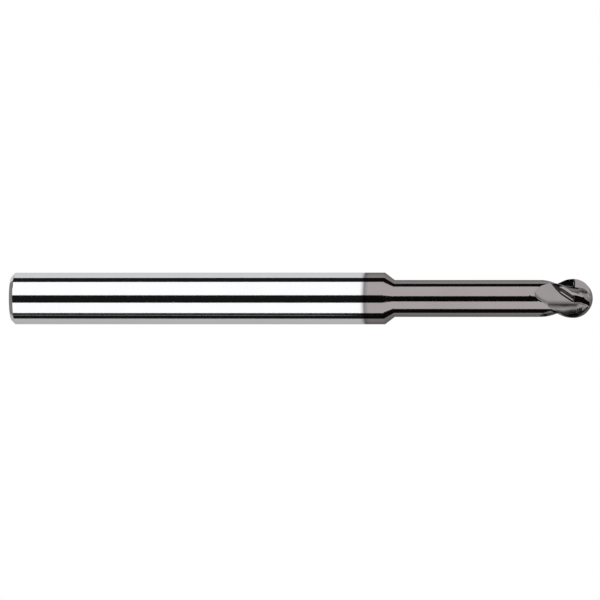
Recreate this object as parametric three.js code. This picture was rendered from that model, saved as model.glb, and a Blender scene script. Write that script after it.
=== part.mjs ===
// A long-reach ball-nose end mill: one ground carbide blank, built as its five ground zones.
// Millimetres, right-handed, +Z up. The tool lies along +X with its tip at +X, and the origin is
// the centre of the shank's back face.
import * as THREE from 'three';
import { ParametricGeometry } from 'three/addons/geometries/ParametricGeometry.js';

// Lengths along the tool, measured from the back face.
const OVERALL = 45;
const COATED_FROM = 27.5;
const SHOULDER_START = 29;
const NECK_START = 29.75;
const HEAD_START = 40;

// Radii and the chamfer on the shank's back rim.
const SHANK_R = 2;
const NECK_R = 1.425;
const BALL_R = 1.5;
const BACK_CHAMFER = 0.3;
const ROUND_SIDES = 64;

// Cutting head. Angles about the axis are in degrees, from -Y towards +Z, and fall along the cut.
const BALL_CENTRE = OVERALL - BALL_R;
const HELIX = 36;
const EDGE_AT_BALL = 9.6;
const EDGE_SWEEP_TO_TIP = 75;
const TEETH_START = 42.3;
const TEETH_FULL = 43;

// Flutes from one cutting edge to the next. Their spacing is uneven, as on tools made to resist chatter.
// Each gives its spacing and the height of its land's foot beside the neck and on the ball.
const WIDE_FLUTE = { spacing: 98, runFoot: -0.467, ballFoot: -0.467 };
const NARROW_FLUTE = { spacing: 82, runFoot: 0.05, ballFoot: -0.72 };
const FLUTES = [WIDE_FLUTE, NARROW_FLUTE, WIDE_FLUTE, NARROW_FLUTE];

// Tooth back: a margin at full radius, then a relieved land that falls away to the flute's floor.
const MARGIN = 9;
const MARGIN_ON_BALL = 4;
const LAND_CROWN = 0.25;

// Flute floor: a flat that a wheel leaves on an arc. The arc is level past the tip and climbs out of
// the blank towards the neck.
const FLOOR_OFF_AXIS = 0.31;
const FLOOR_WHEEL_R = 26.5;
const FLOOR_LEVEL_FROM = 48.28;
const FLOOR_ANGLE = 17;
const FLOOR_SHARE_OF_BALL = 0.5;
const FLOOR_LEAD_ON_BALL = 12;

// Rake face and root fillet: hooked beside the neck, at one fixed angle and tighter on the ball.
const HOOK = 12;
const FACE_ON_BALL = 48;
const ROOT_FILLET = 0.5;
const BALL_FILLET = 0.18;
const GASH_BLEND = 0.15;
const BALL_BLEND = 0.6;
const LEAST_STEP = 0.003;
const LEAST_GAP = 0.3;

// Faces across one flute, in order, and rows along the head.
const FACE_STEPS = 1;
const FILLET_STEPS = 4;
const FLOOR_STEPS = 3;
const LAND_STEPS = 5;
const MARGIN_STEPS = 3;
const RUN_ROWS = 24;
const BALL_ROWS = 18;

const rad = THREE.MathUtils.degToRad;
const degrees = THREE.MathUtils.radToDeg;
const clamp = THREE.MathUtils.clamp;
const cosd = (angle) => Math.cos(rad(angle));
const sind = (angle) => Math.sin(rad(angle));
const acosd = (ratio) => degrees(Math.acos(clamp(ratio, -1, 1)));
const ease = THREE.MathUtils.smoothstep;
const between = (from, to, part) => from + (to - from) * part;

const metal = (color, roughness) => new THREE.MeshStandardMaterial({ color, roughness, metalness: 1 });
const bareCarbide = () => metal(0xc9cbce, 0.16);
const darkCoating = () => metal(0x6d6663, 0.22);

// A solid of revolution about +X from [along, radius] points that start and end on the axis.
function turned(name, points, material) {
  const profile = points.map(([along, radius]) => new THREE.Vector2(radius, along));
  const mesh = new THREE.Mesh(new THREE.LatheGeometry(profile, ROUND_SIDES), material);
  mesh.name = name;
  mesh.rotation.z = -Math.PI / 2;
  return mesh;
}

// Full-diameter bare shank that the collet grips, chamfered at the back.
function shank() {
  return turned('shank', [
    [0, 0],
    [0, SHANK_R - BACK_CHAMFER],
    [BACK_CHAMFER, SHANK_R],
    [COATED_FROM, SHANK_R],
    [COATED_FROM, 0],
  ], bareCarbide());
}

// The last full-diameter stretch, where the coating starts.
function coatedCollar() {
  return turned('coated_collar', [
    [COATED_FROM, 0],
    [COATED_FROM, SHANK_R],
    [SHOULDER_START, SHANK_R],
    [SHOULDER_START, 0],
  ], darkCoating());
}

// The cone from the shank's diameter down to the neck's.
function shoulderCone() {
  return turned('shoulder_cone', [
    [SHOULDER_START, 0],
    [SHOULDER_START, SHANK_R],
    [NECK_START, NECK_R],
    [NECK_START, 0],
  ], darkCoating());
}

// The long neck, a little thinner than the ball so that it clears the wall of a deep pocket.
function reducedNeck() {
  return turned('reduced_neck', [
    [NECK_START, 0],
    [NECK_START, NECK_R],
    [HEAD_START, NECK_R],
    [HEAD_START, 0],
  ], darkCoating());
}

// Radius of the head before any flute is ground: neck, a short step up to the ball's diameter, ball.
function blankRadius(x) {
  if (x > BALL_CENTRE) {
    return Math.sqrt(Math.max(0, BALL_R ** 2 - (x - BALL_CENTRE) ** 2));
  }
  return between(NECK_R, BALL_R, ease(x, TEETH_START, TEETH_FULL));
}

// The flute floor's distance off the axis: on the wheel's arc, and shrinking with the ball near the tip.
function floorOffAxis(x, radius) {
  const arc = FLOOR_OFF_AXIS + (FLOOR_LEVEL_FROM - x) ** 2 / (2 * FLOOR_WHEEL_R);
  const most = x > BALL_CENTRE ? FLOOR_SHARE_OF_BALL * radius : radius;
  return Math.min(arc, most);
}

// Angle of the cutting edge: a helix beside the neck, sweeping forward over the ball.
function helixAngle(x, radius) {
  if (x > BALL_CENTRE) {
    return EDGE_AT_BALL - EDGE_SWEEP_TO_TIP * (1 - radius / BALL_R) ** 1.3;
  }
  const turnPerLength = Math.tan(rad(HELIX)) / BALL_R;
  return EDGE_AT_BALL + degrees(turnPerLength * (BALL_CENTRE - x));
}

// What one cross-section of a flute needs. Its edge is the helix, or where the floor runs out above it.
function sectionAt(x, flute) {
  const radius = blankRadius(x);
  const helix = helixAngle(x, radius);
  const floorAngle = Math.min(FLOOR_ANGLE, helix + FLOOR_LEAD_ON_BALL);
  const floor = floorOffAxis(x, radius);
  const halfWidth = Math.max(LEAST_GAP, acosd((floor + LEAST_STEP * radius / BALL_R) / radius));
  const edge = Math.min(helix, floorAngle + halfWidth);
  const gash = ease(x, BALL_CENTRE, BALL_CENTRE + GASH_BLEND);
  const nose = ease(x, BALL_CENTRE, BALL_CENTRE + BALL_BLEND);
  const nextEdge = edge - flute.spacing;
  const back = helix - flute.spacing + between(MARGIN, MARGIN_ON_BALL, nose);
  const shrink = x > BALL_CENTRE ? radius / BALL_R : 1;
  const footZ = between(flute.runFoot, flute.ballFoot, nose) * shrink;
  const footY = (floor - footZ * sind(floorAngle)) / cosd(floorAngle);
  const foot = Math.max(floorAngle - halfWidth, degrees(Math.atan2(footZ, footY)));
  return { radius, edge, floorAngle, floor, gash, nextEdge, back, foot };
}

// Radius of the flute's flat floor at an angle.
function floorRadius(section, angle) {
  return Math.min(section.radius, section.floor / Math.max(0.05, cosd(angle - section.floorAngle)));
}

// The rake face and root fillet as [angle, radius] points, from the edge down to the flute's floor.
function rakePoints(section) {
  const { radius, edge, floorAngle, floor, gash } = section;
  const across = radius * sind(edge - floorAngle);
  const height = Math.max(1e-4 * radius, radius * cosd(edge - floorAngle) - floor);
  const corner = floorAngle + between(90 - edge + HOOK, FACE_ON_BALL, gash);
  const wantedFillet = between(ROOT_FILLET, BALL_FILLET, gash);
  const fillet = Math.min(wantedFillet, 0.98 * height / (1 - cosd(corner)));
  const tangent = fillet * Math.tan(rad(corner / 2));
  const foot = across - height / Math.tan(rad(corner));
  const faceEnd = [foot + tangent * cosd(corner), floor + tangent * sind(corner)];
  const points = [];
  for (let i = 0; i < FACE_STEPS; i += 1) {
    const part = i / FACE_STEPS;
    points.push([between(across, faceEnd[0], part), between(floor + height, faceEnd[1], part)]);
  }
  for (let i = 0; i <= FILLET_STEPS; i += 1) {
    const turn = corner * (1 - i / FILLET_STEPS);
    points.push([foot - tangent + fillet * sind(turn), floor + fillet * (1 - cosd(turn))]);
  }
  return points.map(([u, v]) => {
    const angle = floorAngle + degrees(Math.atan2(u, v));
    return [angle, Math.min(radius, Math.hypot(u, v))];
  });
}

// One flute of a section as [angle, radius] points, from one cutting edge to just short of the next.
function flutePoints(section) {
  const { radius, nextEdge } = section;
  const rake = rakePoints(section);
  const fluteEnd = rake[rake.length - 1][0];
  const floorEnd = clamp(section.foot, nextEdge + 2 * LEAST_GAP, fluteEnd - LEAST_GAP);
  const landStart = clamp(section.back, nextEdge + LEAST_GAP, floorEnd - LEAST_GAP);
  const drop = radius - floorRadius(section, floorEnd);
  const landRadius = (angle) => {
    const part = clamp((angle - landStart) / (floorEnd - landStart), 0, 1);
    return radius - drop * ((1 + LAND_CROWN) * part - LAND_CROWN * part ** 2);
  };
  const points = rake.slice(0, -1);
  const stretches = [
    [fluteEnd, floorEnd, FLOOR_STEPS, (angle) => floorRadius(section, angle)],
    [floorEnd, landStart, LAND_STEPS, landRadius],
    [landStart, nextEdge, MARGIN_STEPS, landRadius],
  ];
  for (const [from, to, steps, radiusAt] of stretches) {
    for (let i = 0; i < steps; i += 1) {
      const angle = between(from, to, i / steps);
      points.push([angle, radiusAt(angle)]);
    }
  }
  return points;
}

// A full turn of a section as Y and Z places.
function sectionLoop(x) {
  const loop = [];
  let turn = 0;
  for (const flute of FLUTES) {
    for (const [angle, radius] of flutePoints(sectionAt(x, flute))) {
      loop.push(new THREE.Vector3(x, -radius * cosd(angle - turn), radius * sind(angle - turn)));
    }
    turn += flute.spacing;
  }
  return loop;
}

// Stations along the head: even beside the neck, then even in angle over the ball.
function stations() {
  const places = [];
  for (let i = 0; i < RUN_ROWS; i += 1) {
    places.push(between(HEAD_START, BALL_CENTRE, i / RUN_ROWS));
  }
  for (let i = 0; i < BALL_ROWS; i += 1) {
    places.push(BALL_CENTRE + BALL_R * sind(90 * i / BALL_ROWS));
  }
  return places;
}

// The fluted ball head: its skin runs from the centre of its back face, out, along, and in at the tip.
function flutedBallHead() {
  const rows = stations().map(sectionLoop);
  const around = rows[0].length;
  const along = rows.length + 1;
  const ends = [new THREE.Vector3(HEAD_START, 0, 0), new THREE.Vector3(OVERALL, 0, 0)];
  const skin = (u, v, target) => {
    const column = Math.round(u * around) % around;
    const row = Math.round(v * along);
    const loop = rows[row - 1];
    target.copy(loop ? loop[column] : ends[row === 0 ? 0 : 1]);
  };
  const mesh = new THREE.Mesh(new ParametricGeometry(skin, around, along), darkCoating());
  mesh.name = 'fluted_ball_head';
  return mesh;
}

const group = new THREE.Group();
group.name = 'ball_nose_end_mill';
group.add(shank(), coatedCollar(), shoulderCone(), reducedNeck(), flutedBallHead());

export default group;
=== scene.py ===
"""A long-reach ball-nose end mill in a small light tent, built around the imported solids.

The tool lies along +X with its tip at +X, and the origin is the centre of the shank's back face.
Every length inside the numpy surfaces is in millimetres; meshes are stored in metres.
"""
import math

import bpy
import numpy as np
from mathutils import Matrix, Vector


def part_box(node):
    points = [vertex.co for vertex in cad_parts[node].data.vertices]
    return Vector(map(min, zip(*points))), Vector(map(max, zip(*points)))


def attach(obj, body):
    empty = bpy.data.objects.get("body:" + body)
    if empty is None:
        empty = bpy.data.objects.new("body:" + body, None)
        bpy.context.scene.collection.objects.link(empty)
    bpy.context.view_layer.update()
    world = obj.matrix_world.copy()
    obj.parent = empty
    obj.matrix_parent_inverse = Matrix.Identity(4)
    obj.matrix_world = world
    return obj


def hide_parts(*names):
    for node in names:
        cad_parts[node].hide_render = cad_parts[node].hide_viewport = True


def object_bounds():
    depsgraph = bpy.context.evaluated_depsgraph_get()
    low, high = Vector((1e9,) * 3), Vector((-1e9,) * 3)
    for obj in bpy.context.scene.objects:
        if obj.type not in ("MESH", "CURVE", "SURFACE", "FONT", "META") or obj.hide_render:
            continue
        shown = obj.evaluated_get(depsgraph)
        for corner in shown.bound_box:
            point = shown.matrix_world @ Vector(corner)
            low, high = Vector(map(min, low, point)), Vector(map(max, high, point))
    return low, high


bl_info = {
    "name": "Ball-nose end mill",
    "version": (1, 0, 0),
    "blender": (4, 5, 0),
    "location": "3D View > Sidebar > End mill",
    "description": "Builds a coated four-flute ball-nose end mill and its light tent",
    "category": "Object",
}

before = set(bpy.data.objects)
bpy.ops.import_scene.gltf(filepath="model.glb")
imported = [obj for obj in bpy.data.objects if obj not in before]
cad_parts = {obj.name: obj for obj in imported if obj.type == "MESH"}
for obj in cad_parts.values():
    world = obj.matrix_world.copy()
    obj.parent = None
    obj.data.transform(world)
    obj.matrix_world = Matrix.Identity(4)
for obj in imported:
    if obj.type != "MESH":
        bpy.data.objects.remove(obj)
CAD_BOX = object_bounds()
MM = 0.001


def node_span(node):
    """(start, end, radius) of a node in millimetres, read from its box: the tool lies along X."""
    low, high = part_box(node)
    return low.x / MM, high.x / MM, high.z / MM


SHANK = node_span("shank")
COLLAR = node_span("coated_collar")
CONE = node_span("shoulder_cone")
NECK = node_span("reduced_neck")
HEAD = node_span("fluted_ball_head")


# ---------------------------------------------------------------- sizes and finishes to change

class EndMillSizes(bpy.types.PropertyGroup):
    """Sizes of the ground head and the small edge breaks."""

    ball_radius: bpy.props.FloatProperty(
        name="Ball radius", description="Radius of the ball nose, in millimetres",
        default=1.5, min=0.1)
    back_chamfer: bpy.props.FloatProperty(
        name="Back chamfer", description="Chamfer on the shank's back rim, in millimetres",
        default=0.3, min=0.0)
    edge_break: bpy.props.FloatProperty(
        name="Edge break", description="How far a softened shank corner reaches, in millimetres",
        default=0.03, min=0.0)
    helix: bpy.props.FloatProperty(
        name="Helix", description="Helix angle of the flutes beside the neck",
        default=math.radians(36), subtype="ANGLE")
    margin: bpy.props.FloatProperty(
        name="Margin", description="Width of the round margin, as an angle about the axis",
        default=math.radians(9), subtype="ANGLE")


class EndMillFinish(bpy.types.PropertyGroup):
    """Colours and polish of the bare carbide and the coating."""

    bare_colour: bpy.props.FloatVectorProperty(
        name="Bare carbide", description="Reflectance of the ground carbide",
        default=(0.62, 0.625, 0.635), min=0.0, max=1.0, subtype="COLOR", size=3)
    coat_colour: bpy.props.FloatVectorProperty(
        name="Coating", description="Reflectance of the hard coating",
        default=(0.243, 0.218, 0.219), min=0.0, max=1.0, subtype="COLOR", size=3)
    ground_colour: bpy.props.FloatVectorProperty(
        name="Coating on the flutes", description="Reflectance of the coating over wheel marks",
        default=(0.205, 0.195, 0.193), min=0.0, max=1.0, subtype="COLOR", size=3)
    polish: bpy.props.FloatProperty(
        name="Polish", description="Roughness of the ground round surfaces",
        default=0.06, min=0.0, max=1.0, subtype="FACTOR")
    flute_polish: bpy.props.FloatProperty(
        name="Flute polish", description="Roughness of the wheel-ground flutes and lands",
        default=0.24, min=0.0, max=1.0, subtype="FACTOR")


class EndMillStage(bpy.types.PropertyGroup):
    """Camera and light tent."""

    camera_turn: bpy.props.FloatProperty(
        name="Camera turn", description="How far the camera stands round towards the tip",
        default=math.radians(5.5), subtype="ANGLE")
    camera_distance: bpy.props.FloatProperty(
        name="Camera distance", description="From the tool's middle to the camera",
        default=0.52, subtype="DISTANCE")
    lens: bpy.props.FloatProperty(
        name="Lens", description="Focal length in millimetres", default=404.7)
    softbox: bpy.props.FloatProperty(
        name="Softbox", description="Brightness of the two softboxes against the white room",
        default=1.575)
    tent_radius: bpy.props.FloatProperty(
        name="Tent radius", description="Distance of the cards from the tool",
        default=0.4, subtype="DISTANCE")


# ---------------------------------------------------------------- surfaces on a grid

CREASE_TURN = 1.2
EDGE_TURN = 20.0
CORNER_STEPS = 6
ROUND_SIDES = 288


def ease(x, low, high):
    """3 t^2 - 2 t^3, where t is how far x has gone from low to high, kept between 0 and 1."""
    t = np.clip((x - low) / (high - low), 0.0, 1.0)
    return t * t * (3.0 - 2.0 * t)


def round_grid(x, y, z, caps):
    """Vertices, quads and end fans of a skin from three row-by-column arrays.

    Row i, column j joins row i + 1 and column j + 1 in a quad, and the last column joins the first.
    The first and last rows close on one centre vertex each, at the places in caps.
    """
    rows, columns = x.shape
    body = np.stack([x, y, z], axis=-1).reshape(-1, 3)
    points = np.vstack([body, np.asarray(caps, float)])
    index = np.arange(rows * columns).reshape(rows, columns)
    here, beside = index, np.roll(index, -1, axis=1)
    quads = np.stack([here[:-1], beside[:-1], beside[1:], here[1:]], axis=-1).reshape(-1, 4)
    start = np.stack([np.full(columns, rows * columns), beside[0], here[0]], axis=-1)
    end = np.stack([np.full(columns, rows * columns + 1), here[-1], beside[-1]], axis=-1)
    return points, quads, np.vstack([start, end])


def crease_edges(mesh, columns, creases):
    """Marks an edge sharp where its faces turn by more than EDGE_TURN degrees.

    Along a crease column, which is one of the grid's columns, CREASE_TURN degrees are enough.
    """
    ends = np.empty(len(mesh.edges) * 2, np.int32)
    mesh.edges.foreach_get("vertices", ends)
    ends = ends.reshape(-1, 2)
    column = ends % columns
    along = (column[:, 0] == column[:, 1]) & np.isin(column[:, 0], creases)
    marks = []
    for turn in (CREASE_TURN, EDGE_TURN):
        mesh.set_sharp_from_angle(angle=math.radians(turn))
        sharp = np.zeros(len(mesh.edges), bool)
        if "sharp_edge" in mesh.attributes:
            mesh.attributes["sharp_edge"].data.foreach_get("value", sharp)
        marks.append(sharp)
    if "sharp_edge" not in mesh.attributes:
        mesh.attributes.new("sharp_edge", "BOOLEAN", "EDGE")
    mesh.attributes["sharp_edge"].data.foreach_set("value", (marks[0] & along) | marks[1])


def piece_from_grid(name, x, y, z, caps, creases=()):
    """A mesh object in metres from a closed grid in millimetres, smooth but for its creases."""
    points, quads, fans = round_grid(x, y, z, caps)
    corners = np.concatenate([quads.ravel(), fans.ravel()])
    sizes = np.concatenate([np.full(len(quads), 4), np.full(len(fans), 3)])
    starts = np.concatenate([[0], np.cumsum(sizes)[:-1]])
    mesh = bpy.data.meshes.new(name)
    mesh.vertices.add(len(points))
    mesh.vertices.foreach_set("co", (points * MM).astype(np.float32).ravel())
    mesh.loops.add(len(corners))
    mesh.loops.foreach_set("vertex_index", corners.astype(np.int32))
    mesh.polygons.add(len(sizes))
    mesh.polygons.foreach_set("loop_start", starts.astype(np.int32))
    mesh.update(calc_edges=True)
    mesh.validate()
    mesh.polygons.foreach_set("use_smooth", np.ones(len(sizes), bool))
    crease_edges(mesh, x.shape[1], creases)
    piece = bpy.data.objects.new(name, mesh)
    bpy.context.scene.collection.objects.link(piece)
    return piece


def softened(profile, radius):
    """An [along, radius] profile with each inner corner replaced by a quadratic curve.

    The curve starts and ends at the given length from the corner, or half-way along a shorter side,
    and is (1 - t)^2 A + 2 t (1 - t) C + t^2 B for a corner C between the points A and B.
    """
    profile = np.asarray(profile, float)
    corner = profile[1:-1]
    before, after = profile[:-2] - corner, profile[2:] - corner
    start, end = [corner + side * np.minimum(radius / np.linalg.norm(side, axis=1), 0.5)[:, None]
                  for side in (before, after)]
    start, corner, end = start[:, None], corner[:, None], end[:, None]
    t = np.linspace(0.0, 1.0, CORNER_STEPS)[None, :, None]
    curve = (1 - t) ** 2 * start + 2 * t * (1 - t) * corner + t ** 2 * end
    return np.vstack([profile[:1], curve.reshape(-1, 2), profile[-1:]])


def turned_piece(name, profile):
    """A solid of revolution about X: a profile point [along, r] goes to (along, -r cos a, r sin a).

    The angle a falls from one column to the next, so that faces point outwards. The profile starts
    and ends on the axis, and those two points close the skin.
    """
    profile = np.asarray(profile, float)
    angle = np.linspace(0.0, -2 * np.pi, ROUND_SIDES, endpoint=False)[None, :]
    along, radius = profile[1:-1, 0][:, None], profile[1:-1, 1][:, None]
    x = along + 0.0 * angle
    caps = [[profile[0, 0], 0, 0], [profile[-1, 0], 0, 0]]
    return piece_from_grid(name, x, -radius * np.cos(angle), radius * np.sin(angle), caps)


# ---------------------------------------------------------------- the fluted head
# Millimetres and degrees. Angles are about X from -Y towards +Z, and fall along the cut.

# Flutes in turn round the axis: spacing to the next edge, then the height of the foot of the land
# beside the neck and on the ball.
WIDE_FLUTE = (98.0, -0.467, -0.467)
NARROW_FLUTE = (82.0, 0.05, -0.72)
FLUTES = (WIDE_FLUTE, NARROW_FLUTE, WIDE_FLUTE, NARROW_FLUTE)

# Cutting edge: its angle where the ball starts, and how far and how steadily it sweeps to the tip.
EDGE_AT_BALL = 9.6
EDGE_SWEEP_TO_TIP = 75.0
EDGE_SWEEP_POWER = 1.3

# Where the blank steps up from the neck to the ball's radius.
TEETH_START = 42.3
TEETH_FULL = 43.0

# Flat floor of the flute: a wheel's arc along the tool, and a share of the radius on the ball.
FLOOR_OFF_AXIS = 0.31
FLOOR_WHEEL_R = 26.5
FLOOR_LEVEL_FROM = 48.28
FLOOR_ANGLE = 17.0
FLOOR_SHARE_OF_BALL = 0.5
FLOOR_LEAD_ON_BALL = 12.0

# Rake face and root fillet: hooked beside the neck, at one fixed angle and tighter on the ball.
HOOK = 12.0
FACE_ON_BALL = 48.0
ROOT_FILLET = 0.5
BALL_FILLET = 0.18
FILLET_SHARE = 0.98

# Land and margin behind the edge.
MARGIN_ON_BALL = 4.0
LAND_CROWN = 0.25

# How far past the ball's centre the rake face, and then the land and margin, take on the shape that
# they have on the ball.
GASH_BLEND = 0.15
BALL_BLEND = 0.6

# Least sizes, which keep neighbouring columns apart where a face vanishes and divisors from zero.
LEAST_STEP = 0.003
LEAST_GAP = 0.3
LEAST_CORNER = 10.0
LEAST_COSINE = 0.05
LEAST_RADIUS_SQUARED = 1e-12

# Painted shade: a darker band painted along the foot of the land, where the concave crease lies in
# shade; how far it reaches, and where it fades out past the ball's centre.
PAINTED_SHADE_REACH = 0.36
PAINTED_SHADE_FADE = (0.25, 0.5)

# Columns of each face across a flute, and rows along the head.
FACE_STEPS, FILLET_STEPS, FLOOR_STEPS, LAND_STEPS, MARGIN_STEPS = 4, 26, 14, 26, 14
RUN_ROWS, BALL_ROWS = 180, 90

# How rough each face is ground, from 0 polished to 1: rake and root, floor, land, margin. A face is
# fully ground where it lies GROUND_DEPTH below the blank.
GROUND_GRADES = (0.25, 0.5, 1.0, 1.0)
GROUND_DEPTH = 0.01


def cosd(angle):
    """Cosine of an angle in degrees."""
    return np.cos(np.radians(angle))


def sind(angle):
    """Sine of an angle in degrees."""
    return np.sin(np.radians(angle))


class HeadSections:
    """Cross-sections of one flute of the head, one row per station along X.

    The blank is the neck, a short step up to the ball's radius, and the ball. The flute has a rake
    face, a root fillet and a flat floor, and ends in a relieved land and a round margin.
    """

    def __init__(self, x, sizes, spacing, run_foot, ball_foot):
        self.x = x[:, None]
        self.ball = sizes.ball_radius
        self.centre = HEAD[1] - self.ball
        self.on_ball = self.x > self.centre
        self.radius = self.blank_radius()
        self.gash = ease(self.x, self.centre, self.centre + GASH_BLEND)
        nose = ease(self.x, self.centre, self.centre + BALL_BLEND)
        helix = self.helix_angle(sizes.helix)
        self.floor_angle = np.minimum(FLOOR_ANGLE, helix + FLOOR_LEAD_ON_BALL)
        self.floor = self.floor_off_axis()
        half_width = self.floor_half_width()
        self.edge = np.minimum(helix, self.floor_angle + half_width)
        self.next_edge = self.edge - spacing
        margin = math.degrees(sizes.margin)
        self.back = helix - spacing + margin + (MARGIN_ON_BALL - margin) * nose
        foot_z = run_foot + (ball_foot - run_foot) * nose
        foot_z = foot_z * np.where(self.on_ball, self.radius / self.ball, 1.0)
        foot_y = (self.floor - foot_z * sind(self.floor_angle)) / cosd(self.floor_angle)
        rim = self.floor_angle - half_width
        self.foot = np.maximum(rim, np.degrees(np.arctan2(foot_z, foot_y)))

    def blank_radius(self):
        """Radius before grinding: the step up beside the neck, and the ball's circle past it."""
        over = np.maximum(0.0, self.x - self.centre)
        step = NECK[2] + (self.ball - NECK[2]) * ease(self.x, TEETH_START, TEETH_FULL)
        circle = np.sqrt(np.maximum(LEAST_RADIUS_SQUARED, self.ball ** 2 - over ** 2))
        return np.where(self.on_ball, circle, step)

    def helix_angle(self, helix):
        """Angle of the edge: tan(helix) / R per length beside the neck.

        On the ball it falls by the sweep times (1 - r / R) to the sweep's power.
        """
        turn = math.degrees(math.tan(helix) / self.ball)
        inward = 1 - np.minimum(1.0, self.radius / self.ball)
        swept = EDGE_AT_BALL - EDGE_SWEEP_TO_TIP * inward ** EDGE_SWEEP_POWER
        return np.where(self.on_ball, swept, EDGE_AT_BALL + turn * (self.centre - self.x))

    def floor_off_axis(self):
        """Distance of the flat floor off the axis, d + (x0 - x)^2 / 2 R, where the blank allows it.

        It is at most the blank's radius beside the neck, and a share of it on the ball.
        """
        arc = FLOOR_OFF_AXIS + (FLOOR_LEVEL_FROM - self.x) ** 2 / (2 * FLOOR_WHEEL_R)
        return np.minimum(arc, np.where(self.on_ball, FLOOR_SHARE_OF_BALL, 1.0) * self.radius)

    def floor_half_width(self):
        """Angle from the floor's middle to where it meets the blank, with a least width."""
        share = (self.floor + LEAST_STEP * self.radius / self.ball) / self.radius
        return np.maximum(LEAST_GAP, np.degrees(np.arccos(np.clip(share, -1, 1))))

    def fit_land(self, flute_end):
        """Settles the land between the margin's back and the floor, each kept a least gap apart."""
        self.floor_end = np.clip(self.foot, self.next_edge + 2 * LEAST_GAP, flute_end - LEAST_GAP)
        self.land_start = np.clip(self.back, self.next_edge + LEAST_GAP, self.floor_end - LEAST_GAP)
        self.drop = self.radius - np.minimum(self.radius, self.flat(self.floor_end))

    def land(self, angle):
        """Radius of the margin and the relieved land.

        With t from 0 at the margin's back to 1 at the floor, it is r - drop ((1 + c) t - c t^2).
        """
        t = np.clip((angle - self.land_start) / (self.floor_end - self.land_start), 0.0, 1.0)
        return self.radius - self.drop * ((1 + LAND_CROWN) * t - LAND_CROWN * t * t)

    def flat(self, angle):
        """Radius of the flat floor: its distance off the axis over cos(a - floor angle)."""
        return self.floor / np.maximum(LEAST_COSINE, cosd(angle - self.floor_angle))

    def rake(self):
        """[angle, radius] columns down the tooth's face and round the root fillet to the floor.

        In a section turned to stand on its floor, the face is a line that meets the floor at the
        corner angle, and the fillet is the arc that touches both. Near the tip the corner stays
        at its least angle.
        """
        across = self.radius * sind(self.edge - self.floor_angle)
        least = LEAST_STEP * self.radius / self.ball
        height = np.maximum(least, self.radius * cosd(self.edge - self.floor_angle) - self.floor)
        beside_neck = 90.0 - self.edge + HOOK
        corner = self.floor_angle + beside_neck + (FACE_ON_BALL - beside_neck) * self.gash
        corner = np.maximum(LEAST_CORNER, corner)
        wanted = ROOT_FILLET + (BALL_FILLET - ROOT_FILLET) * self.gash
        fillet = np.minimum(wanted, FILLET_SHARE * height / (1 - cosd(corner)))
        tangent = fillet * np.tan(np.radians(corner / 2))
        foot = across - height / np.tan(np.radians(corner))
        end_u, end_v = foot + tangent * cosd(corner), self.floor + tangent * sind(corner)
        part = (np.arange(FACE_STEPS) / FACE_STEPS)[None, :]
        face_u = across + (end_u - across) * part
        face_v = self.floor + height + (end_v - self.floor - height) * part
        turn = corner * (1 - np.arange(FILLET_STEPS + 1) / FILLET_STEPS)[None, :]
        round_u = foot - tangent + fillet * sind(turn)
        round_v = self.floor + fillet * (1 - cosd(turn))
        u, v = np.hstack([face_u, round_u]), np.hstack([face_v, round_v])
        angle = self.floor_angle + np.degrees(np.arctan2(u, v))
        return angle, np.minimum(self.radius, np.hypot(u, v))

    def painted_shade(self, angle, radius):
        """How near a point is to the foot of the land, from 1 on it to 0 at the painted shade's
        reach away: the mask of the shade painted along that crease.

        It falls evenly with distance, and fades out over the first part of the ball.
        """
        foot_radius = np.minimum(self.radius, self.flat(self.floor_end))
        apart = np.hypot(radius * cosd(angle) - foot_radius * cosd(self.floor_end),
                         radius * sind(angle) - foot_radius * sind(self.floor_end))
        fade = 1.0 - ease(self.x - self.centre, *PAINTED_SHADE_FADE)
        return np.clip(1.0 - apart / PAINTED_SHADE_REACH, 0.0, 1.0) * fade

    def columns(self):
        """(angle, radius, finish, painted-shade mask) columns from a cutting edge to just before
        the next.

        finish goes from 0 on the round neck to a face's own grade where a wheel has ground it. The
        painted-shade mask, which darkens the colour in the crease at the foot of the land, is given
        on the floor and the land.
        """
        angle, radius = self.rake()
        flute_end = angle[:, -1:]
        self.fit_land(flute_end)
        stretches = [(flute_end, self.floor_end, FLOOR_STEPS, self.flat),
                     (self.floor_end, self.land_start, LAND_STEPS, self.land),
                     (self.land_start, self.next_edge, MARGIN_STEPS, self.land)]
        angles, radii = [angle[:, :-1]], [radius[:, :-1]]
        for start, end, steps, ground in stretches:
            spread = start + (end - start) * (np.arange(steps) / steps)[None, :]
            angles.append(spread)
            radii.append(np.minimum(self.radius, ground(spread)))
        angle, radius = np.hstack(angles), np.hstack(radii)
        steps = (FACE_STEPS + FILLET_STEPS, FLOOR_STEPS, LAND_STEPS, MARGIN_STEPS)
        grade = np.repeat(GROUND_GRADES, steps)[None, :]
        # Only the floor and land columns take the painted shade at the foot of the land.
        beside_painted_shade = np.repeat((0.0, 1.0, 1.0, 0.0), steps)[None, :]
        ground = ease(self.radius - radius, 0.0, GROUND_DEPTH)
        return angle, radius, grade * ground, beside_painted_shade * ground * self.painted_shade(angle, radius)


def head_creases():
    """Grid columns where the head's faces meet: edge, end of face, foot and back of the land."""
    floor_end = FACE_STEPS + FILLET_STEPS + FLOOR_STEPS
    land_end = floor_end + LAND_STEPS
    flute = np.array([0, FACE_STEPS, floor_end, land_end])
    starts = (land_end + MARGIN_STEPS) * np.arange(len(FLUTES))
    return (flute[None, :] + starts[:, None]).ravel()


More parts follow.
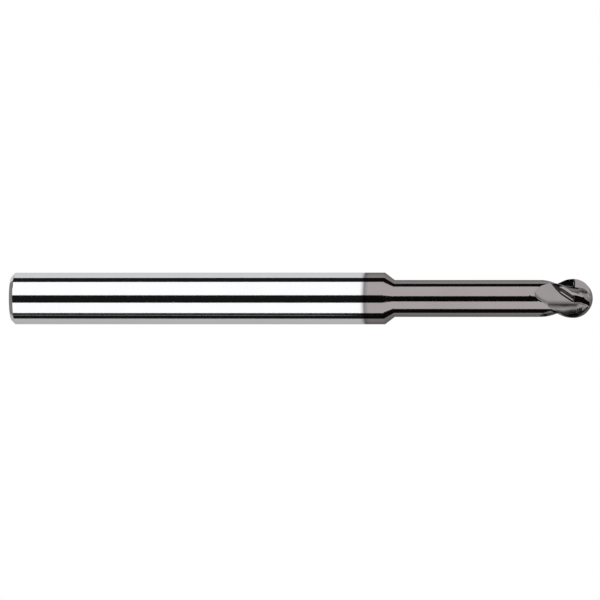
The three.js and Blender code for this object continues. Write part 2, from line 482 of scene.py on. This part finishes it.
def head_grid(sizes):
    """X, Y, Z, finish and painted-shade mask arrays of the whole head, with each flute's columns in
    turn.

    Stations are even beside the neck and even in angle over the ball. A point at angle a and radius
    r goes to (x, -r cos a, r sin a).
    """
    centre = HEAD[1] - sizes.ball_radius
    run = np.linspace(HEAD[0], centre, RUN_ROWS, endpoint=False)
    ball = centre + sizes.ball_radius * sind(np.linspace(0.0, 90.0, BALL_ROWS, endpoint=False))
    x = np.concatenate([run, ball])
    columns, turn = [], 0.0
    for flute in FLUTES:
        angle, *others = HeadSections(x, sizes, *flute).columns()
        columns.append((angle - turn, *others))
        turn += flute[0]
    angle, radius, finish, painted_shade = [np.hstack(parts) for parts in zip(*columns)]
    return x[:, None] + 0.0 * angle, -radius * cosd(angle), radius * sind(angle), finish, painted_shade


# ---------------------------------------------------------------- materials

# How far each finish keeps its reflectance at a glancing angle, on the shader's Specular Tint.
BARE_TINT = 0.8
COAT_TINT = 0.42

# The middle of a noise texture's values, which the patterns stretch over their own range.
NOISE_LOW, NOISE_HIGH = 0.3, 0.7

# Greys of the thin coating that mists the shank's front, and of the coating's first stretch, with
# how far each reaches, in millimetres, and how fast the mist comes on.
MIST_GREY, MIST_REACH, MIST_POWER = (0.2, 0.2, 0.2), 0.38, 1.8
START_GREY, START_REACH = (0.14, 0.14, 0.14), 0.35

# Extra roughness of the cut end face, and how deep it goes into the shank, in millimetres.
END_FACE_ROUGHNESS, END_FACE_DEPTH = 0.35, 0.02

# Painted shade at the foot of a land: how far the colour goes to its darkest there, and that
# darkest colour as a share of the flute colour.
PAINTED_SHADE_STRENGTH, PAINTED_SHADE_SHARE = 0.85, 0.05

# Bumps of the grinding rings and of the wheel marks: strength, and depth in metres.
RING_BUMP = (0.12, 2e-6)
WHEEL_BUMP = (0.06, 3e-6)


class Nodes:
    """Adds and joins the shader nodes of one metal's material."""

    def __init__(self, name, tint):
        self.material = bpy.data.materials.new(name)
        self.material.use_nodes = True
        self.tree = self.material.node_tree
        self.shader = self.tree.nodes["Principled BSDF"]
        self.shader.inputs["Metallic"].default_value = 1.0
        self.shader.inputs["Specular Tint"].default_value = (tint, tint, tint, 1.0)
        self.place = self.tree.nodes.new("ShaderNodeTexCoord").outputs["Object"]

    def link(self, source, target):
        """Joins an output to an input."""
        self.tree.links.new(source, target)

    def noise(self, along, across, detail):
        """Noise over Object coordinates, with its own scale along and across X, per metre."""
        mapping = self.tree.nodes.new("ShaderNodeMapping")
        mapping.inputs["Scale"].default_value = (along, across, across)
        self.link(self.place, mapping.inputs["Vector"])
        noise = self.tree.nodes.new("ShaderNodeTexNoise")
        noise.inputs["Scale"].default_value = 1.0
        noise.inputs["Detail"].default_value = detail
        noise.inputs["Roughness"].default_value = 0.55
        self.link(mapping.outputs["Vector"], noise.inputs["Vector"])
        return noise.outputs["Fac"]

    def from_noise(self, noise, low, high):
        """Carries a noise's middle values to a range from low to high."""
        return self.span(noise, NOISE_LOW, NOISE_HIGH, low, high)

    def clouded(self, waves, colour, spread):
        """A colour that drifts in soft clouds by the spread, as a share, to either side."""
        cloud = self.from_noise(self.noise(waves, waves, 4.0), 0.0, 1.0)
        return self.blend(cloud, opaque(colour, 1.0 - spread), opaque(colour, 1.0 + spread))

    def mark(self, name):
        """The value of a mesh attribute."""
        node = self.tree.nodes.new("ShaderNodeAttribute")
        node.attribute_name = name
        return node.outputs["Fac"]

    def along(self, low, high):
        """How far Object X has gone from low to high, in millimetres, kept between 0 and 1."""
        split = self.tree.nodes.new("ShaderNodeSeparateXYZ")
        self.link(self.place, split.inputs["Vector"])
        return self.span(split.outputs["X"], low * MM, high * MM, 0.0, 1.0)

    def span(self, value, low, high, to_low, to_high):
        """Carries a value from one range to another, clamped."""
        carry = self.tree.nodes.new("ShaderNodeMapRange")
        carry.inputs["From Min"].default_value = low
        carry.inputs["From Max"].default_value = high
        carry.inputs["To Min"].default_value = to_low
        carry.inputs["To Max"].default_value = to_high
        self.link(value, carry.inputs["Value"])
        return carry.outputs["Result"]

    def maths(self, operation, first, second):
        """One Math node on two values, each an output or a number."""
        node = self.tree.nodes.new("ShaderNodeMath")
        node.operation = operation
        for value, socket in ((first, node.inputs[0]), (second, node.inputs[1])):
            if isinstance(value, (int, float)):
                socket.default_value = value
            else:
                self.link(value, socket)
        return node.outputs["Value"]

    def blend(self, factor, first, second):
        """Mixes two colours, each an output or a colour."""
        mix = self.tree.nodes.new("ShaderNodeMix")
        mix.data_type = "RGBA"
        self.link(factor, mix.inputs["Factor"])
        for value, socket in ((first, mix.inputs[6]), (second, mix.inputs[7])):
            if isinstance(value, tuple):
                socket.default_value = value
            else:
                self.link(value, socket)
        return mix.outputs[2]

    def bump(self, height, strength, distance):
        """Turns a height into the shader's normal; distance is in metres."""
        node = self.tree.nodes.new("ShaderNodeBump")
        node.inputs["Strength"].default_value = strength
        node.inputs["Distance"].default_value = distance
        self.link(height, node.inputs["Height"])
        self.link(node.outputs["Normal"], self.shader.inputs["Normal"])


def opaque(colour, share=1.0):
    """An RGBA colour from a property's three numbers, times a share."""
    return tuple(channel * share for channel in colour) + (1.0,)


def bare_carbide(finish):
    """Ground bare carbide with hair-fine rings and a duller cut end face, misted at the front."""
    nodes = Nodes("bare_carbide", BARE_TINT)
    rings = nodes.noise(9000.0, 60.0, 3.0)
    clean = nodes.clouded(420.0, finish.bare_colour, 0.015)
    mist = nodes.maths("POWER", nodes.along(COLLAR[0] - MIST_REACH, COLLAR[0]), MIST_POWER)
    nodes.link(nodes.blend(mist, clean, opaque(MIST_GREY)), nodes.shader.inputs["Base Color"])
    polish = nodes.from_noise(rings, finish.polish * 0.8, finish.polish * 1.3)
    end_face = nodes.span(nodes.along(0.0, END_FACE_DEPTH), 0.0, 1.0, END_FACE_ROUGHNESS, 0.0)
    nodes.link(nodes.maths("ADD", polish, end_face), nodes.shader.inputs["Roughness"])
    nodes.bump(rings, *RING_BUMP)
    return nodes.material


def hard_coating(name, finish, start=None):
    """Thin dark coating over ground carbide; from start, its first stretch is darker and grey."""
    nodes = Nodes(name, COAT_TINT)
    rings = nodes.noise(7000.0, 80.0, 3.0)
    colour = nodes.clouded(350.0, finish.coat_colour, 0.03)
    if start is not None:
        colour = nodes.blend(nodes.along(start, start + START_REACH), opaque(START_GREY), colour)
    nodes.link(colour, nodes.shader.inputs["Base Color"])
    polish = nodes.from_noise(rings, finish.polish * 0.8, finish.polish * 1.4)
    nodes.link(polish, nodes.shader.inputs["Roughness"])
    nodes.bump(rings, *RING_BUMP)
    return nodes.material


def ground_coating(finish):
    """The head's coating: rough and marked in the flutes, polished on the neck and margins, with
    shade painted along the foot of each land.
    """
    nodes = Nodes("coated_ground_head", COAT_TINT)
    ground = nodes.mark("finish")
    marks = nodes.noise(1500.0, 9000.0, 4.0)
    in_flute = nodes.clouded(900.0, finish.ground_colour, 0.05)
    wheel = nodes.span(ground, 0.0, GROUND_GRADES[0], 0.0, 1.0)
    colour = nodes.blend(wheel, opaque(finish.coat_colour), in_flute)
    # Painted shade: the mask darkens the colour in the crease at the foot of each land.
    painted_shade = nodes.maths("MULTIPLY", nodes.mark("painted_shade"), PAINTED_SHADE_STRENGTH)
    colour = nodes.blend(painted_shade, colour, opaque(finish.ground_colour, PAINTED_SHADE_SHARE))
    nodes.link(colour, nodes.shader.inputs["Base Color"])
    rough = nodes.from_noise(marks, finish.flute_polish * 0.85, finish.flute_polish * 1.15)
    polished = nodes.maths("MULTIPLY", nodes.maths("SUBTRACT", 1.0, ground), finish.polish)
    roughness = nodes.maths("ADD", nodes.maths("MULTIPLY", rough, ground), polished)
    nodes.link(roughness, nodes.shader.inputs["Roughness"])
    nodes.bump(nodes.maths("MULTIPLY", marks, ground), *WHEEL_BUMP)
    return nodes.material


def glow(name, radiance):
    """A black material that sends out even white light."""
    material = bpy.data.materials.new(name)
    material.use_nodes = True
    shader = material.node_tree.nodes["Principled BSDF"]
    shader.inputs["Base Color"].default_value = (0.0, 0.0, 0.0, 1.0)
    shader.inputs["Specular IOR Level"].default_value = 0.0
    shader.inputs["Emission Color"].default_value = (1.0, 1.0, 1.0, 1.0)
    shader.inputs["Emission Strength"].default_value = radiance
    return material


# ---------------------------------------------------------------- stage

def grid_object(name, x, y, z, material):
    """An open sheet from three row-by-column arrays in metres."""
    rows, columns = x.shape
    index = np.arange(rows * columns).reshape(rows, columns)
    corners = [index[:-1, :-1], index[:-1, 1:], index[1:, 1:], index[1:, :-1]]
    quads = np.stack(corners, axis=-1).reshape(-1, 4)
    points = np.stack([x, y, z], axis=-1).reshape(-1, 3)
    mesh = bpy.data.meshes.new(name)
    mesh.from_pydata(points.tolist(), [], quads.tolist())
    mesh.materials.append(material)
    sheet = bpy.data.objects.new(name, mesh)
    bpy.context.scene.collection.objects.link(sheet)
    return sheet


def hide_from_camera(sheet):
    """Only reflections see the sheet: it doesn't block the camera or throw a shadow."""
    sheet.visible_camera = False
    sheet.visible_diffuse = False
    sheet.visible_shadow = False


# Points along and round a card of the tent, and round a card behind the shank.
CARD_COLUMNS, CARD_ROWS, END_ROWS = 40, 25, 49


def tent_card(name, angles, ends, radius, radiance):
    """A strip of a cylinder about the axis, between two angles in degrees from -Y towards +Z.

    Point (x, a) is (x, -R cos a, R sin a). Each angle is a number, or its list of values at
    TENT_STATIONS that the strip's edge follows past the tip.
    """
    x = np.linspace(*ends, CARD_COLUMNS)[None, :]
    low_edge, high_edge = [np.interp(x, TENT_STATIONS, np.broadcast_to(edge, len(TENT_STATIONS)))
                           for edge in angles]
    part = np.linspace(0.0, 1.0, CARD_ROWS)[:, None]
    angle = np.radians(low_edge + (high_edge - low_edge) * part)
    card = grid_object(name, x + 0 * angle, -radius * np.cos(angle), radius * np.sin(angle),
                       glow(name, radiance))
    hide_from_camera(card)


def end_card(name, x, angles, reach, radiance):
    """A flat ring sector behind the shank: point (r, a) is (x, -r cos a, r sin a)."""
    angle = np.radians(np.linspace(*angles, END_ROWS))[:, None]
    radius = np.array([reach])
    card = grid_object(name, x + 0 * angle * radius, -radius * np.cos(angle),
                       radius * np.sin(angle), glow(name, radiance))
    hide_from_camera(card)


# Places along X, in metres, at which the tent's slanting edges are given.
TENT_STATIONS = (-0.42, 0.02, 0.27, 0.4, 0.8, 0.95, 1.4)
FRONT_HIGH = (14.5, 14.5, 14.5, 14.5, 14.5, 25.0, 27.0)
FRONT_LOW = (-19.3, -19.3, -19.3, -19.3, -19.3, -34.5, -36.5)
TOP_EDGE = (78.4, 78.4, 93.4, 102.4, 105.4, 106.4, 108.4)
TOP_FLAG_END = (105.3, 105.3, 126.0, 135.0, 138.0, 139.0, 140.0)
LOW_EDGE = (-68.3, -68.3, -84.0, -92.0, -96.0, -97.0, -98.0)
LOW_FLAG_END = (-102.8, -102.8, -122.3, -130.3, -133.3, -134.3, -135.3)

# Where the tent starts behind the shank and ends past the tip, in metres along X.
BACK, FRONT = -0.42, 1.4
SOFTBOX = "softbox"

# Cards of the tent: name, lowest and highest angle about the axis, start and end along X, distance
# as a share of the tent's radius, and brightness, which for a softbox is the one on the panel.
TENT = [
    ("flag_front", (FRONT_LOW, FRONT_HIGH), (BACK, FRONT), 1.0, 0.012),
    ("softbox_upper", (FRONT_HIGH, TOP_EDGE), (BACK, FRONT), 1.0, SOFTBOX),
    ("flag_top", (TOP_EDGE, TOP_FLAG_END), (BACK, 0.09), 1.0, 0.015),
    ("haze_top", (TOP_EDGE, TOP_FLAG_END), (0.09, 0.24), 1.0, 0.4),
    ("flag_top_cone", (TOP_EDGE, TOP_FLAG_END), (0.24, 0.45), 1.0, 0.015),
    ("softbox_lower", (LOW_EDGE, FRONT_LOW), (BACK, FRONT), 1.0, SOFTBOX),
    ("flag_below", (LOW_FLAG_END, LOW_EDGE), (BACK, 0.55), 1.0, 0.012),
    ("white_below", (-180.0, LOW_FLAG_END), (BACK, FRONT), 1.0, 0.72),
    ("flag_behind_top", (55.0, 128.0), (BACK, -0.11), 0.97, 0.01),
    ("flag_behind_low", (-70.0, -16.0), (BACK, -0.175), 0.97, 0.2),
    ("seam_below", (-81.4, -79.4), (BACK, -0.0095), 0.99, 0.42),
    ("flag_past_tip", (-118.0, -47.0), (0.06, 0.26), 0.98, 0.01),
]

# Cards that close the tent behind the shank: name, place along X, lowest and highest angle, inner
# and outer radius in metres, and brightness.
TENT_END = [
    ("end_card", -0.42, (0.0, 360.0), (0.001, 0.42), 0.3),
    ("end_flag", -0.41, (50.0, 128.0), (0.2, 0.42), 0.01),
    ("end_flag_front", -0.41, (-5.0, 50.0), (0.1, 0.42), 0.01),
]

# The floor: height and half its side, in metres. The camera: how far it aims from the tool's middle
# along X and Z, in millimetres, its sensor in millimetres and its near limit in metres.
FLOOR_HEIGHT, FLOOR_REACH = -0.03, 3.0
AIM_X, AIM_Z = -0.085, -0.12
SENSOR, NEAR_LIMIT = 36.0, 0.01


# ---------------------------------------------------------------- operators

def finish_piece(piece, node, material):
    """Gives a piece its material and slot, hides the CAD node it stands in for, and hangs it on its
    body.
    """
    piece.data.materials.append(material)
    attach(piece, "root")
    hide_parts(node)


class ENDMILL_OT_shank(bpy.types.Operator):
    """Builds the bare ground shank."""

    bl_idname = "endmill.shank"
    bl_label = "Build shank"

    def execute(self, context):
        sizes, finish = context.scene.end_mill_sizes, context.scene.end_mill_finish
        start, end, radius = SHANK
        chamfer = sizes.back_chamfer
        corners = [[start, 0], [start, radius - chamfer],
                   [start + chamfer, radius], [end, radius]]
        profile = np.vstack([softened(corners, sizes.edge_break), [[end, 0]]])
        piece = turned_piece("ground_shank", profile)
        finish_piece(piece, "shank", bare_carbide(finish))
        return {"FINISHED"}


class ENDMILL_OT_coated_body(bpy.types.Operator):
    """Builds the coated collar, the cone and the reduced neck."""

    bl_idname = "endmill.coated_body"
    bl_label = "Build collar, cone and neck"

    def execute(self, context):
        finish = context.scene.end_mill_finish
        collar = [[COLLAR[0], COLLAR[2]], [COLLAR[1], COLLAR[2]]]
        cone = [[CONE[0], CONE[2]], [CONE[1], NECK[2]]]
        neck = [[NECK[0], NECK[2]], [NECK[1], NECK[2]]]
        for zone, node, side, coat_start in (("collar", "coated_collar", collar, COLLAR[0]),
                                             ("cone", "shoulder_cone", cone, None),
                                             ("neck", "reduced_neck", neck, None)):
            profile = [[side[0][0], 0], *side, [side[1][0], 0]]
            piece = turned_piece("ground_" + zone, profile)
            material = hard_coating("coated_" + zone, finish, coat_start)
            finish_piece(piece, node, material)
        return {"FINISHED"}


class ENDMILL_OT_head(bpy.types.Operator):
    """Builds the fluted ball head."""

    bl_idname = "endmill.head"
    bl_label = "Build fluted head"

    def execute(self, context):
        sizes, finish = context.scene.end_mill_sizes, context.scene.end_mill_finish
        x, y, z, ground, painted_shade = head_grid(sizes)
        caps = [[HEAD[0], 0, 0], [HEAD[1], 0, 0]]
        piece = piece_from_grid("ground_ball_head", x, y, z, caps, head_creases())
        # The second attribute carries the mask of the shade painted at the foot of each land.
        for name, marks in (("finish", ground), ("painted_shade", painted_shade)):
            values = np.concatenate([marks.ravel(), [0.0, marks[-1].max()]]).astype(np.float32)
            attribute = piece.data.attributes.new(name, "FLOAT", "POINT")
            attribute.data.foreach_set("value", values)
        finish_piece(piece, "fluted_ball_head", ground_coating(finish))
        return {"FINISHED"}


class ENDMILL_OT_stage(bpy.types.Operator):
    """Builds the white room, the floor, the light tent and the camera."""

    bl_idname = "endmill.stage"
    bl_label = "Build stage"

    def execute(self, context):
        scene, stage = context.scene, context.scene.end_mill_stage
        world = bpy.data.worlds.new("white_room")
        world.use_nodes = True
        world.node_tree.nodes["Background"].inputs["Color"].default_value = (1.0, 1.0, 1.0, 1.0)
        scene.world = world
        scene.view_settings.view_transform = "Standard"
        for name, angles, ends, share, radiance in TENT:
            level = stage.softbox if radiance == SOFTBOX else radiance
            tent_card(name, angles, ends, stage.tent_radius * share, level)
        for card in TENT_END:
            end_card(*card)
        self.floor()
        self.camera(scene, stage)
        return {"FINISHED"}

    @staticmethod
    def floor():
        """A pale floor below the tool, as bright as the room."""
        side = np.linspace(-FLOOR_REACH, FLOOR_REACH, 3)
        x, y = np.meshgrid(side, side)
        floor = grid_object("floor", x, y, np.full_like(x, FLOOR_HEIGHT), glow("pale_floor", 1.0))
        floor.visible_glossy = False

    @staticmethod
    def camera(scene, stage):
        """Stands level with the tool and a little towards the tip."""
        camera = bpy.data.cameras.new("camera")
        camera.sensor_width = SENSOR
        camera.lens = stage.lens
        camera.clip_start = NEAR_LIMIT
        holder = bpy.data.objects.new("camera", camera)
        middle = (CAD_BOX[0][0] + CAD_BOX[1][0]) / 2
        turn = stage.camera_turn
        holder.location = (middle + AIM_X * MM + stage.camera_distance * math.sin(turn),
                           -stage.camera_distance * math.cos(turn), AIM_Z * MM)
        holder.rotation_euler = (math.pi / 2, 0.0, turn)
        scene.collection.objects.link(holder)
        scene.camera = holder


class ENDMILL_PT_panel(bpy.types.Panel):
    """Lists the end mill's sizes, finishes and building steps."""

    bl_idname = "ENDMILL_PT_panel"
    bl_label = "Ball-nose end mill"
    bl_space_type = "VIEW_3D"
    bl_region_type = "UI"
    bl_category = "End mill"

    def draw(self, context):
        scene = context.scene
        for group in (scene.end_mill_sizes, scene.end_mill_finish, scene.end_mill_stage):
            box = self.layout.box()
            for name in group.__annotations__:
                box.prop(group, name)
        for operator in OPERATORS:
            self.layout.operator(operator.bl_idname)


OPERATORS = (ENDMILL_OT_stage, ENDMILL_OT_shank, ENDMILL_OT_coated_body, ENDMILL_OT_head)
GROUPS = (EndMillSizes, EndMillFinish, EndMillStage)


def register():
    """Registers the classes and hangs the property groups on the scene."""
    for cls in GROUPS + OPERATORS + (ENDMILL_PT_panel,):
        bpy.utils.register_class(cls)
    bpy.types.Scene.end_mill_sizes = bpy.props.PointerProperty(type=EndMillSizes)
    bpy.types.Scene.end_mill_finish = bpy.props.PointerProperty(type=EndMillFinish)
    bpy.types.Scene.end_mill_stage = bpy.props.PointerProperty(type=EndMillStage)


def unregister():
    """Takes away what register() added."""
    del bpy.types.Scene.end_mill_stage
    del bpy.types.Scene.end_mill_finish
    del bpy.types.Scene.end_mill_sizes
    for cls in reversed(GROUPS + OPERATORS + (ENDMILL_PT_panel,)):
        bpy.utils.unregister_class(cls)


def main():
    """Registers the add-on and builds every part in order."""
    register()
    bpy.ops.endmill.stage()
    bpy.ops.endmill.shank()
    bpy.ops.endmill.coated_body()
    bpy.ops.endmill.head()


if __name__ == "__main__":
    main()
